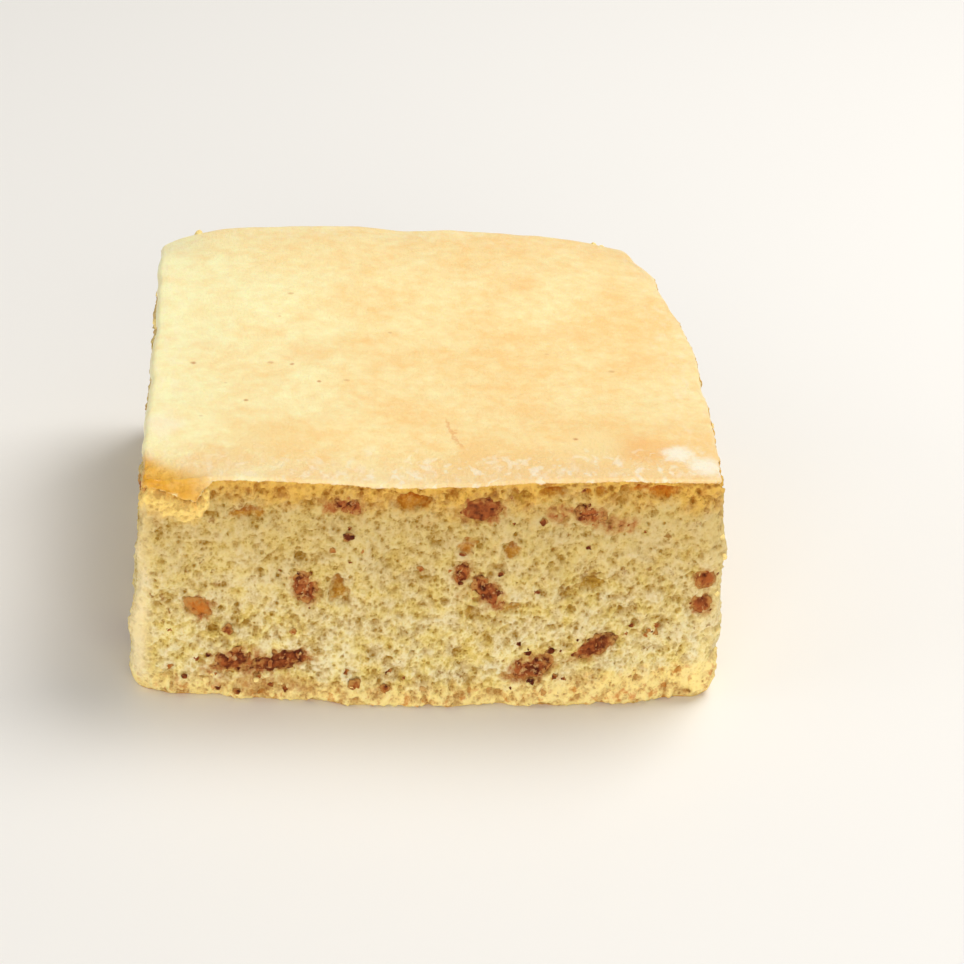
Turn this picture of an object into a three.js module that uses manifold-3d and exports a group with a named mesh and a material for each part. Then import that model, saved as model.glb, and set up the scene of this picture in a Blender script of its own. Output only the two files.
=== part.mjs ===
// A square slice of sponge cake with chopped red dates baked into it.
// Millimetres, +Z up. The front cut looks along -Y. The origin is on the base, under the middle of the top.

import * as THREE from "three";
import { mergeVertices } from "three/addons/utils/BufferGeometryUtils.js";
import Module from "manifold-3d";

const wasm = await Module();
wasm.setup();

// Driving dimensions of the slice, along its top edge
const TOP_WIDTH = 90;
const TOP_DEPTH = 90;
const HEIGHT = 38.3;

// Plan radii of each upright corner, across and deep.
// The back right corner is broadly rounded.
const CORNERS = [
  { x: 1, y: -1, across: 2.2, deep: 2.2 },
  { x: 1, y: 1, across: 8, deep: 13 },
  { x: -1, y: 1, across: 4, deep: 4 },
  { x: -1, y: -1, across: 2.2, deep: 2.2 },
];

// How each side leaves the upright: bow of the top edge, bulge at half height,
// spread all along the base, and more spread in the middle of the base
const SIDES = {
  front: { bow: 0, bulge: 0.2, flare: 1.0, belly: 3.6 },
  right: { bow: 1.0, bulge: 0.6, flare: 1.7, belly: 0.4 },
  back: { bow: 1.2, bulge: 0.3, flare: 1.2, belly: 2.0 },
  left: { bow: -0.6, bulge: 0.2, flare: 1.1, belly: 0.8 },
};
const SPREAD_POWER = 1.5;
const CORNER_LIFT = 1.2;
const CORNER_LIFT_POWER = 4;

// The right cut drifts inward towards the back: how much in all, and where it starts and ends
const RIGHT_DRIFT = 3.2;
const DRIFT_FROM = 2;
const DRIFT_TO = 30;

// Roll of the baked skin over the cut edge, softer at the rounded corner
const EDGE_RADIUS = 1.1;
const DROOP_RADIUS = 2.2;
const DROOP_REACH = 11;
const BASE_RADIUS = 1.4;

// Gentle hills and hollows of the baked top: middle, reach and rise of each
const TOP_HILLS = [
  { x: -14, y: 36, reach: 34, rise: 2.8 },
  { x: 26, y: 30, reach: 24, rise: 1.4 },
  { x: -45, y: -45, reach: 14, rise: -1.0 },
  { x: -6, y: -45, reach: 15, rise: -1.2 },
  { x: 38, y: -45, reach: 18, rise: 0.9 },
  { x: 45, y: 45, reach: 13, rise: -1.0 },
  { x: -45, y: 45, reach: 8, rise: -1.9 },
  { x: -2, y: 46, reach: 5, rise: -0.7 },
];

// Slow unevenness of the knife cuts: size of each wave, how fast it turns along x, y and z,
// and the share of it that is lost towards the top edge
const CUT_WAVES = [
  { size: 0.32, x: 0.19, y: 0.23, z: 0.11, start: 0.4 },
  { size: 0.26, x: 0.43, y: -0.37, z: 0.29, start: 2.1 },
  { size: 0.2, x: -0.71, y: 0.67, z: 0.53, start: 4.4 },
  { size: 0.14, x: 1.13, y: 1.07, z: -0.89, start: 1.3 },
];
const EDGE_CALM = 0.7;
const EDGE_CALM_POWER = 4;
const CRAG_SIZE = 0.3;
const CRAG_SEED = 7;

// Facets of the sponge
const COLUMNS = 106;
const WALL_ROWS = 12;
const EDGE_STEPS = 3;
const BASE_STEPS = 2;
const TOP_RINGS = [0.9, 0.76, 0.6, 0.42, 0.22];
const BOTTOM_RINGS = [0.4, 0.8];

// Chopped dates that the front cut goes through: place along and up the face, size and tilt
const FRONT_DATES = [
  { along: -30.4, up: 6.5, wide: 5.8, high: 3.2, tilt: 22 },
  { along: -22.7, up: 7.0, wide: 9.2, high: 3.2, tilt: 18 },
  { along: -19.2, up: 19.8, wide: 4.2, high: 4.4, tilt: 24 },
  { along: -35.4, up: 15.4, wide: 4.6, high: 3.0, tilt: -28 },
  { along: -12.7, up: 33.4, wide: 3.8, high: 2.4, tilt: -14 },
  { along: 7.7, up: 33.6, wide: 5.8, high: 4.0, tilt: 5 },
  { along: 5.0, up: 22.8, wide: 2.4, high: 3.4, tilt: -12 },
  { along: 9.4, up: 19.6, wide: 5.8, high: 3.2, tilt: -50 },
  { along: 44.0, up: 21.8, wide: 4.4, high: 2.9, tilt: -4 },
  { along: 44.0, up: 16.9, wide: 4.8, high: 3.0, tilt: 12 },
  { along: 26.2, up: 10.6, wide: 6.2, high: 3.5, tilt: 24 },
  { along: 16.5, up: 7.1, wide: 6.2, high: 4.0, tilt: 20 },
  { along: 24.6, up: 32.9, wide: 4.4, high: 3.0, tilt: -12 },
];

// Dates on the three other cuts are spread by a rule in bands along and up the face
const OTHER_SIDES = ["right", "back", "left"];
const DATES_ALONG = 4;
const DATES_UP = 2;
const SPREAD_SEED = 21;
const DATE_WIDE = [3.6, 8.4];
const DATE_SQUASH = [0.5, 0.9];
const DATE_MARGIN = 9;
const DATE_LOW = 5;
const DATE_HIGH = 33;
const DATE_BAND = [0.15, 0.85];
const DATE_TILT = [-40, 40];

// How a chopped date sits in the crumb, and how lumpy it is along its three ways
const DATE_DEPTH_SHARE = 0.75;
const DATE_SUNK_SHARE = 0.12;
const DATE_LUMPS = 0.08;
const LUMP_RATE = { x: 3.1, y: 2.7, z: 3.3 };
const POCKET_GAP = 0.35;
const JOIN_WITHIN = 1e-3;

// Colours as the baked cake shows them
const SPONGE_FINISH = { color: 0xe6c37a, roughness: 0.85, metalness: 0 };
const DATE_FINISH = { color: 0x7a3218, roughness: 0.55, metalness: 0 };

const UPRIGHT = new THREE.Vector3(0, 0, 1);

// Repeatable random numbers from 0 to 1
function randomFrom(seed) {
  let state = seed;
  return () => {
    state = (state + 0x6d2b79f5) | 0;
    let mixed = Math.imul(state ^ (state >>> 15), 1 | state);
    mixed = (mixed + Math.imul(mixed ^ (mixed >>> 7), 61 | mixed)) ^ mixed;
    return ((mixed ^ (mixed >>> 14)) >>> 0) / 4294967296;
  };
}

function between(random, [low, high]) {
  return low + (high - low) * random();
}

function cutWave(x, y, z) {
  const waves = CUT_WAVES.map((w) => w.size * Math.sin(w.x * x + w.y * y + w.z * z + w.start));
  return waves.reduce((sum, wave) => sum + wave, 0);
}

// Height of the baked top over a point of the plan
function topHeight(x, y) {
  const rises = TOP_HILLS.map((hill) => {
    const away = ((x - hill.x) ** 2 + (y - hill.y) ** 2) / hill.reach ** 2;
    return hill.rise * Math.exp(-away);
  });
  return rises.reduce((sum, rise) => sum + rise, HEIGHT);
}

// Radius of the skin's roll over the edge near a point of the plan
function edgeRadius(x, y) {
  const away = ((x - TOP_WIDTH / 2) ** 2 + (y - TOP_DEPTH / 2) ** 2) / DROOP_REACH ** 2;
  return EDGE_RADIUS + DROOP_RADIUS * Math.exp(-away);
}

// The top edge in plan, counter-clockwise from the start of the front cut
function planOutline() {
  const quarter = Math.PI / 2;
  const [first, , , last] = CORNERS;
  const path = new THREE.Path();
  path.moveTo(-TOP_WIDTH / 2 + last.across, -TOP_DEPTH / 2);
  path.lineTo(TOP_WIDTH / 2 - first.across, -TOP_DEPTH / 2);
  CORNERS.forEach(({ x, y, across, deep }, turn) => {
    const middleX = x * (TOP_WIDTH / 2 - across);
    const middleY = y * (TOP_DEPTH / 2 - deep);
    path.absellipse(middleX, middleY, across, deep, (turn - 1) * quarter, turn * quarter, false);
  });
  return path;
}

// A value of the side that a point of the wall faces, mixed from two sides round a corner
function sideValue(facing, key) {
  const across = facing.x > 0 ? SIDES.right : SIDES.left;
  const deep = facing.y > 0 ? SIDES.back : SIDES.front;
  return across[key] * facing.x ** 2 + deep[key] * facing.y ** 2;
}

// A point of the cut wall, from its place on the plan outline, the way it faces and its share of the height
function wallPoint(edge, facing, share) {
  const acrossX = Math.max(0, 1 - (edge.x / (TOP_WIDTH / 2)) ** 2) * facing.y ** 2;
  const acrossY = Math.max(0, 1 - (edge.y / (TOP_DEPTH / 2)) ** 2) * facing.x ** 2;
  const middle = acrossX + acrossY;
  const cornering = Math.abs((edge.x * edge.y) / ((TOP_WIDTH / 2) * (TOP_DEPTH / 2)));
  const foot = CORNER_LIFT * cornering ** CORNER_LIFT_POWER;
  const z = foot + (topHeight(edge.x, edge.y) - foot) * share;
  const baseSpread = sideValue(facing, "flare") + sideValue(facing, "belly") * middle;
  const spread = baseSpread * (1 - share) ** SPREAD_POWER;
  const bulge = sideValue(facing, "bulge") * Math.sin(Math.PI * share);
  const bow = sideValue(facing, "bow") * middle;
  const drifted = THREE.MathUtils.smoothstep(edge.y, DRIFT_FROM, DRIFT_TO);
  const drift = RIGHT_DRIFT * drifted * Math.max(0, facing.x) ** 2;
  const wave = cutWave(edge.x, edge.y, z) * (1 - EDGE_CALM * share ** EDGE_CALM_POWER);
  const out = bow + bulge + spread - drift + wave;
  return new THREE.Vector3(edge.x + facing.x * out, edge.y + facing.y * out, z);
}

// Rings of the sponge: out along the base, up the cut walls, and over the skin to the middle of the top
function spongeRings() {
  const path = planOutline();
  const edges = path.getSpacedPoints(COLUMNS).slice(0, COLUMNS);
  const facings = edges.map((_, i) => {
    const along = path.getTangentAt(i / COLUMNS);
    return new THREE.Vector2(along.y, -along.x);
  });
  const crag = randomFrom(CRAG_SEED);
  const foot = edges.map((edge, i) => wallPoint(edge, facings[i], 0));
  const rim = edges.map((edge, i) => wallPoint(edge, facings[i], 1));
  const rings = [];
  const addRing = (make) => rings.push(edges.map((edge, i) => make(edge, facings[i], i)));

  BOTTOM_RINGS.forEach((share) => {
    addRing((edge, facing, i) => new THREE.Vector3(foot[i].x * share, foot[i].y * share, 0));
  });
  for (let step = 0; step < BASE_STEPS; step++) {
    const turn = ((step / BASE_STEPS) * Math.PI) / 2;
    addRing((edge, facing, i) => {
      const inset = BASE_RADIUS * (1 - Math.sin(turn));
      const point = foot[i].clone();
      point.x -= facing.x * inset;
      point.y -= facing.y * inset;
      point.z = Math.max(0, foot[i].z * Math.sin(turn)) + BASE_RADIUS * (1 - Math.cos(turn));
      return point;
    });
  }
  for (let row = 0; row <= WALL_ROWS; row++) {
    addRing((edge, facing, i) => {
      const lowest = (foot[i].z + BASE_RADIUS) / rim[i].z;
      const highest = 1 - edgeRadius(edge.x, edge.y) / rim[i].z;
      const point = wallPoint(edge, facing, lowest + ((highest - lowest) * row) / WALL_ROWS);
      const rough = row > 0 && row < WALL_ROWS ? CRAG_SIZE * (2 * crag() - 1) : 0;
      point.x += facing.x * rough;
      point.y += facing.y * rough;
      return point;
    });
  }
  for (let step = 1; step <= EDGE_STEPS; step++) {
    const turn = ((step / EDGE_STEPS) * Math.PI) / 2;
    addRing((edge, facing, i) => {
      const radius = edgeRadius(edge.x, edge.y);
      const inset = radius * (1 - Math.cos(turn));
      const point = rim[i].clone();
      point.x -= facing.x * inset;
      point.y -= facing.y * inset;
      point.z -= radius * (1 - Math.sin(turn));
      return point;
    });
  }
  TOP_RINGS.forEach((share) => {
    addRing((edge, facing, i) => {
      const x = rim[i].x * share;
      const y = rim[i].y * share;
      return new THREE.Vector3(x, y, topHeight(x, y));
    });
  });
  return rings;
}

// Skins stacked rings with triangles and closes both ends with a fan to a middle point
function skinRings(rings, firstMiddle, lastMiddle) {
  const points = [firstMiddle, ...rings.flat(), lastMiddle];
  const count = rings[0].length;
  const at = (ring, column) => 1 + ring * count + (column % count);
  const faces = [];
  for (let column = 0; column < count; column++) {
    faces.push(0, at(0, column + 1), at(0, column));
    for (let ring = 0; ring + 1 < rings.length; ring++) {
      const [a, b] = [at(ring, column), at(ring, column + 1)];
      const [c, d] = [at(ring + 1, column + 1), at(ring + 1, column)];
      faces.push(a, b, c, a, c, d);
    }
    faces.push(at(rings.length - 1, column), at(rings.length - 1, column + 1), points.length - 1);
  }
  const geometry = new THREE.BufferGeometry().setFromPoints(points);
  geometry.setIndex(faces);
  return geometry;
}

// One shared point at each corner, so that the skin is closed
function joined(geometry) {
  geometry.deleteAttribute("normal");
  geometry.deleteAttribute("uv");
  return mergeVertices(geometry, JOIN_WITHIN);
}

// A chopped date: a lumpy nugget at unit size, scaled and turned to lie in the crumb
function dateNugget({ wide, high, tilt }, place, lumpStart, extra) {
  const nugget = joined(new THREE.IcosahedronGeometry(1, 1));
  const corner = new THREE.Vector3();
  const position = nugget.getAttribute("position");
  for (let i = 0; i < position.count; i++) {
    corner.fromBufferAttribute(position, i).normalize();
    const longLump = Math.sin(LUMP_RATE.x * corner.x + lumpStart);
    const crossLump = Math.sin(LUMP_RATE.y * corner.y - LUMP_RATE.z * corner.z + 2 * lumpStart);
    corner.multiplyScalar(1 + DATE_LUMPS * (longLump + crossLump));
    position.setXYZ(i, corner.x, corner.y, corner.z);
  }
  const deep = DATE_DEPTH_SHARE * Math.min(wide, high);
  const size = new THREE.Vector3(wide / 2 + extra, high / 2 + extra, deep / 2 + extra);
  const sunk = place.point.clone().addScaledVector(place.outward, -DATE_SUNK_SHARE * deep);
  const lie = new THREE.Matrix4().makeBasis(place.along, UPRIGHT, place.outward).setPosition(sunk);
  lie.multiply(new THREE.Matrix4().makeRotationZ(THREE.MathUtils.degToRad(tilt)));
  return nugget.applyMatrix4(lie.scale(size));
}

// A place on a cut face: its point on the wall, the way along the face and the way out of it
function placeOn(side, along, up) {
  const turn = { front: 0, right: 1, back: 2, left: 3 }[side] * (Math.PI / 2);
  const alongWay = new THREE.Vector3(1, 0, 0).applyAxisAngle(UPRIGHT, turn);
  const outward = new THREE.Vector3(0, -1, 0).applyAxisAngle(UPRIGHT, turn);
  const reach = Math.abs(outward.x) * (TOP_WIDTH / 2) + Math.abs(outward.y) * (TOP_DEPTH / 2);
  const edge = alongWay.clone().multiplyScalar(along).addScaledVector(outward, reach);
  const point = wallPoint(edge, outward, up / topHeight(edge.x, edge.y));
  return { point, along: alongWay, outward };
}

// Dates of one hidden cut: one in each band of the face, at a random place, size and tilt
function spreadDates(side, random) {
  const length = (side === "back" ? TOP_WIDTH : TOP_DEPTH) - 2 * DATE_MARGIN;
  const dates = [];
  for (let row = 0; row < DATES_UP; row++) {
    for (let column = 0; column < DATES_ALONG; column++) {
      const wide = between(random, DATE_WIDE);
      dates.push({
        along: ((column + between(random, DATE_BAND)) / DATES_ALONG - 0.5) * length,
        up: DATE_LOW + ((row + random()) / DATES_UP) * (DATE_HIGH - DATE_LOW),
        wide,
        high: wide * between(random, DATE_SQUASH),
        tilt: between(random, DATE_TILT),
      });
    }
  }
  return dates;
}

function solidOf(geometry) {
  const vertProperties = new Float32Array(geometry.getAttribute("position").array);
  const triVerts = new Uint32Array(geometry.index.array);
  return new wasm.Manifold(new wasm.Mesh({ numProp: 3, vertProperties, triVerts }));
}

function meshOf(solid, name, finish) {
  const { vertProperties, triVerts } = solid.getMesh();
  const geometry = new THREE.BufferGeometry();
  geometry.setAttribute("position", new THREE.BufferAttribute(vertProperties, 3));
  geometry.setIndex(new THREE.BufferAttribute(triVerts, 1));
  geometry.computeVertexNormals();
  const mesh = new THREE.Mesh(geometry, new THREE.MeshStandardMaterial(finish));
  mesh.name = name;
  return mesh;
}

const cake = new THREE.Group();
const bottomMiddle = new THREE.Vector3(0, 0, 0);
const topMiddle = new THREE.Vector3(0, 0, topHeight(0, 0));
const bareSponge = solidOf(skinRings(spongeRings(), bottomMiddle, topMiddle));
let sponge = bareSponge;

const spread = randomFrom(SPREAD_SEED);
const dates = FRONT_DATES.map((date) => ({ side: "front", date }));
OTHER_SIDES.forEach((side) => spreadDates(side, spread).forEach((date) => dates.push({ side, date })));
const onSide = { front: 0, right: 0, back: 0, left: 0 };
dates.forEach(({ side, date }, i) => {
  const place = placeOn(side, date.along, date.up);
  const fruit = solidOf(dateNugget(date, place, i, 0)).intersect(bareSponge);
  sponge = sponge.subtract(solidOf(dateNugget(date, place, i, POCKET_GAP)));
  onSide[side] += 1;
  cake.add(meshOf(fruit, `date_${side}_${onSide[side]}`, DATE_FINISH));
});
cake.add(meshOf(sponge, "sponge", SPONGE_FINISH));

export default cake;
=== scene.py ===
import math

import bmesh
import bpy
import numpy as np
from mathutils import Matrix, Vector, kdtree, noise
from mathutils.geometry import delaunay_2d_cdt


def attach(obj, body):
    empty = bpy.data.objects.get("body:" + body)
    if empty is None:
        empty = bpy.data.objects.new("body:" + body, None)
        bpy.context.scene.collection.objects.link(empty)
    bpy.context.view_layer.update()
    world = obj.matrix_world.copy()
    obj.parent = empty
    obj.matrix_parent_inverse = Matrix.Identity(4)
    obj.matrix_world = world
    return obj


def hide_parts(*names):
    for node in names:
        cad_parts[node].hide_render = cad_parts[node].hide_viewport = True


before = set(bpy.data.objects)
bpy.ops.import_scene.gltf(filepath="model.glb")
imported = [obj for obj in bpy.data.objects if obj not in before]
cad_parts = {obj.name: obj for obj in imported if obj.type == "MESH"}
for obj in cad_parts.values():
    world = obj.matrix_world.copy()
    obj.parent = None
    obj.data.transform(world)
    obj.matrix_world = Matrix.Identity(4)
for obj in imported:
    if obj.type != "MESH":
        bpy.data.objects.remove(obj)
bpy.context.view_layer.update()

# The form of the slice
# A square cut of egg sponge that spreads a little towards its base. Three of its upright corners
# are sharp cuts and the one at the back right is rounded off. All sizes here are millimetres.
MM = 0.001
TOP_WIDTH = 90.0
TOP_DEPTH = 90.0
HEIGHT = 38.3
CORNERS = (
    {"x": 1, "y": -1, "across": 2.2, "deep": 2.2},
    {"x": 1, "y": 1, "across": 8.0, "deep": 13.0},
    {"x": -1, "y": 1, "across": 4.0, "deep": 4.0},
    {"x": -1, "y": -1, "across": 2.2, "deep": 2.2},
)
SIDES = {
    "front": {"bow": 0.0, "bulge": 0.2, "flare": 1.0, "belly": 3.6},
    "right": {"bow": 1.0, "bulge": 0.6, "flare": 1.7, "belly": 0.4},
    "back": {"bow": 1.2, "bulge": 0.3, "flare": 1.2, "belly": 2.0},
    "left": {"bow": -0.6, "bulge": 0.2, "flare": 1.1, "belly": 0.8},
}
SPREAD_POWER = 1.5
CORNER_LIFT = 1.2
CORNER_LIFT_POWER = 4
RIGHT_DRIFT = 3.2
DRIFT_FROM = 2.0
DRIFT_TO = 30.0
EDGE_RADIUS = 1.1
DROOP_RADIUS = 2.2
DROOP_REACH = 11.0
BASE_RADIUS = 1.4
TOP_HILLS = (
    {"x": -14, "y": 36, "reach": 34, "rise": 2.8},
    {"x": 26, "y": 30, "reach": 24, "rise": 1.4},
    {"x": -45, "y": -45, "reach": 14, "rise": -1.0},
    {"x": -6, "y": -45, "reach": 15, "rise": -1.2},
    {"x": 38, "y": -45, "reach": 18, "rise": 0.9},
    {"x": 45, "y": 45, "reach": 13, "rise": -1.0},
    {"x": -45, "y": 45, "reach": 8, "rise": -1.9},
    {"x": -2, "y": 46, "reach": 5, "rise": -0.7},
)
CUT_WAVES = (
    {"size": 0.32, "x": 0.19, "y": 0.23, "z": 0.11, "start": 0.4},
    {"size": 0.26, "x": 0.43, "y": -0.37, "z": 0.29, "start": 2.1},
    {"size": 0.20, "x": -0.71, "y": 0.67, "z": 0.53, "start": 4.4},
    {"size": 0.14, "x": 1.13, "y": 1.07, "z": -0.89, "start": 1.3},
)
EDGE_CALM = 0.7
EDGE_CALM_POWER = 4
ARC_STEPS = 240
FRONT_STRIP = 1.1


def smoothstep(low, high, value):
    """0 at low and 1 at high, with a soft start and end."""
    share = np.clip((value - low) / (high - low), 0, 1)
    return share * share * (3 - 2 * share)


def top_height(x, y):
    """Height of the baked top over points of the plan."""
    height = np.full(np.shape(x), HEIGHT)
    for hill in TOP_HILLS:
        away = ((x - hill["x"]) ** 2 + (y - hill["y"]) ** 2) / hill["reach"] ** 2
        height = height + hill["rise"] * np.exp(-away)
    return height


def edge_radius(x, y):
    """Radius of the skin's roll over the cut edge, softer at the rounded corner."""
    away = ((x - TOP_WIDTH / 2) ** 2 + (y - TOP_DEPTH / 2) ** 2) / DROOP_REACH**2
    return EDGE_RADIUS + DROOP_RADIUS * np.exp(-away)


def plan_outline(count, front_finer):
    """Points of the top edge in plan, closer along the front, the way that each faces, its place
    along the edge, and the whole length."""
    bends = []
    for turn, corner in enumerate(CORNERS):
        angle = np.linspace(turn - 1, turn, ARC_STEPS) * math.pi / 2
        x = corner["x"] * (TOP_WIDTH / 2 - corner["across"]) + corner["across"] * np.cos(angle)
        y = corner["y"] * (TOP_DEPTH / 2 - corner["deep"]) + corner["deep"] * np.sin(angle)
        bends.append(np.stack([x, y], 1))
    path = np.concatenate([bends[-1][-1:], *bends])
    length = np.concatenate([[0], np.cumsum(np.linalg.norm(np.diff(path, axis=0), axis=1))])
    even = np.linspace(0, length[-1], count * ARC_STEPS)
    at_front = np.interp(even, length, path[:, 1]) < FRONT_STRIP - TOP_DEPTH / 2
    crowd = np.cumsum(np.where(at_front, front_finer, 1.0))
    place = np.interp(np.linspace(crowd[0], crowd[-1], count, endpoint=False), crowd, even)
    edge = np.stack([np.interp(place, length, path[:, k]) for k in (0, 1)], 1)
    along = np.roll(edge, -1, 0) - np.roll(edge, 1, 0)
    along /= np.linalg.norm(along, axis=1, keepdims=True)
    return edge, np.stack([along[:, 1], -along[:, 0]], 1), place, length[-1]


def side_value(facing, key):
    """A value of the side that a point of the wall faces, mixed from two sides round a corner."""
    across = np.where(facing[:, 0] > 0, SIDES["right"][key], SIDES["left"][key])
    deep = np.where(facing[:, 1] > 0, SIDES["back"][key], SIDES["front"][key])
    return across * facing[:, 0] ** 2 + deep * facing[:, 1] ** 2


def wall_points(edge, facing, share):
    """Points of the cut wall, from their place on the outline and their share of the height."""
    x, y = edge.T
    middle = np.maximum(0, 1 - (x / (TOP_WIDTH / 2)) ** 2) * facing[:, 1] ** 2
    middle = middle + np.maximum(0, 1 - (y / (TOP_DEPTH / 2)) ** 2) * facing[:, 0] ** 2
    cornering = np.abs(x * y / (TOP_WIDTH * TOP_DEPTH / 4))
    foot = CORNER_LIFT * cornering**CORNER_LIFT_POWER
    z = foot + (top_height(x, y) - foot) * share
    out = side_value(facing, "bow") * middle + side_value(facing, "bulge") * np.sin(math.pi * share)
    spread = side_value(facing, "flare") + side_value(facing, "belly") * middle
    out = out + spread * (1 - share) ** SPREAD_POWER
    out = out - RIGHT_DRIFT * smoothstep(DRIFT_FROM, DRIFT_TO, y) * np.maximum(0, facing[:, 0]) ** 2
    for wave in CUT_WAVES:
        swing = np.sin(wave["x"] * x + wave["y"] * y + wave["z"] * z + wave["start"])
        out = out + wave["size"] * swing * (1 - EDGE_CALM * share**EDGE_CALM_POWER)
    return np.stack([x + facing[:, 0] * out, y + facing[:, 1] * out, z], 1)


# The grid of the cut walls
# Rings of points run from the base, up the cut faces and over the rolled edge of the skin.
# Each ring knows its outward way and how far it lies above or below the edge of the skin.
COLUMNS = 800
FRONT_FINER = 1.7
BASE_STEPS = 4
WALL_ROWS = 98
EDGE_STEPS = 7
SKIN_INSETS = (0.45, 1.0, 1.8)

edge, facing, edge_place, girth = plan_outline(COLUMNS, FRONT_FINER)
flat_facing = np.concatenate([facing, np.zeros((COLUMNS, 1))], 1)
upright = np.array([0.0, 0.0, 1.0])
foot = wall_points(edge, facing, 0.0)
rim = wall_points(edge, facing, 1.0)
radius = edge_radius(*edge.T)
rings = []
ways = []
from_rim = []
for step in range(BASE_STEPS):
    turn = step / BASE_STEPS * math.pi / 2
    ring = foot - flat_facing * BASE_RADIUS * (1 - math.sin(turn))
    ring[:, 2] = foot[:, 2] * math.sin(turn) + BASE_RADIUS * (1 - math.cos(turn))
    rings.append(ring)
    ways.append(flat_facing * math.sin(turn) - upright * math.cos(turn))
    from_rim.append(ring[:, 2] - rim[:, 2])
lowest = (foot[:, 2] + BASE_RADIUS) / rim[:, 2]
highest = 1 - radius / rim[:, 2]
for row in range(WALL_ROWS + 1):
    ring = wall_points(edge, facing, lowest + (highest - lowest) * row / WALL_ROWS)
    rings.append(ring)
    ways.append(flat_facing)
    from_rim.append(ring[:, 2] - rim[:, 2])
for step in range(1, EDGE_STEPS + 1):
    turn = step / EDGE_STEPS * math.pi / 2
    inset = radius * (1 - math.cos(turn))
    drop = radius * (1 - math.sin(turn))
    rings.append(rim - flat_facing * inset[:, None] - upright * drop[:, None])
    ways.append(flat_facing * math.cos(turn) + upright * math.sin(turn))
    from_rim.append(inset - drop)
rolled = rings[-1]
for extra in SKIN_INSETS:
    ring = rolled * (1 - extra / (TOP_WIDTH / 2))
    ring[:, 2] = top_height(ring[:, 0], ring[:, 1])
    rings.append(ring)
    ways.append(np.broadcast_to(upright, ring.shape))
    from_rim.append(radius + extra)
wall = np.array(rings)
wall_way = np.array(ways)
from_rim = np.array(from_rim)
up_wall = wall[:, :, 2]
row_step = (up_wall[BASE_STEPS + WALL_ROWS] - up_wall[BASE_STEPS]).mean() / WALL_ROWS
column_step = np.diff(edge_place, append=girth)
wall_tree = kdtree.KDTree(wall.shape[0] * COLUMNS)
for number, point in enumerate(wall.reshape(-1, 3).tolist()):
    wall_tree.insert(point, number)
wall_tree.balance()


def column_at(share):
    """The column of the grid at a share of the way round the outline."""
    return np.interp(share * girth, edge_place, np.arange(COLUMNS))


def front_spot(along, up):
    """The row and column of the grid nearest to a place on the front cut."""
    column = np.argmin(np.abs(edge[:, 0] - along) + TOP_WIDTH * (edge[:, 1] > 0))
    return np.argmin(np.abs(up_wall[:BASE_STEPS + WALL_ROWS, column] - up)), column


# The places of the chopped dates
# Each date that a cut goes through keeps the place, size and tilt of its solid in the model:
# its middle, the ways along, across and out of the cut face, and its half sizes along them.
dates = []
for name in sorted(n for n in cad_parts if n.startswith("date_")):
    corners = np.array([v.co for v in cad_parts[name].data.vertices]) / MM
    middle = (corners.min(0) + corners.max(0)) / 2
    out = wall_way.reshape(-1, 3)[wall_tree.find(middle)[1]]
    level_way = np.cross(upright, out)
    level_way /= np.linalg.norm(level_way)
    rise_way = np.cross(out, level_way)
    flat = np.stack([(corners - middle) @ level_way, (corners - middle) @ rise_way], 1)
    turned = np.linalg.eigh(np.cov(flat.T))[1]
    long_way = turned[0, 1] * level_way + turned[1, 1] * rise_way
    axes = np.stack([long_way, np.cross(out, long_way), out])
    reach = (corners - middle) @ axes.T
    half = (reach.max(0) - reach.min(0)) / 2
    dates.append({"name": name, "middle": middle, "axes": axes, "half": half})

# The relief of the crumb
# Thousands of gas cells that the knife opened, from pinholes to hollows the size of a lentil.
# The crumb between them is clumped and ragged, and rough bits stand out along the base.
CRUMB_SEED = 11
CELLS = (
    {"count": 9500, "small": 0.38, "large": 0.72},
    {"count": 380, "small": 0.7, "large": 1.0},
    {"count": 10, "small": 0.75, "large": 0.95},
)
CELL_WIDER = 0.35
CELL_LOWER = 0.2
CELL_RAGGED = 0.7
CELL_SHALLOWER = 0.1
CELL_SLICED = 0.5
NOISE_SHIFT = 7.31
RAGGED = {"seed": 31, "layers": ((1.4, 1.0), (0.6, 0.6))}  # each layer's size of lump, and depth
CLUMPS = {"seed": 1, "layers": ((6.5, 0.2), (2.4, 0.17), (1.0, 0.3))}
BASE_BITS = {"seed": 36, "layers": ((2.6, 0.8), (1.2, 1.0))}
BASE_BITS_RISE = (4.5, 1.0)
CRAGS = {"seed": 46, "layers": ((2.6, 0.65), (1.2, 0.8))}
CRAG_REACH = 4.5
CRAG_PROUD = 0.15
GRAIN = 0.06
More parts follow.
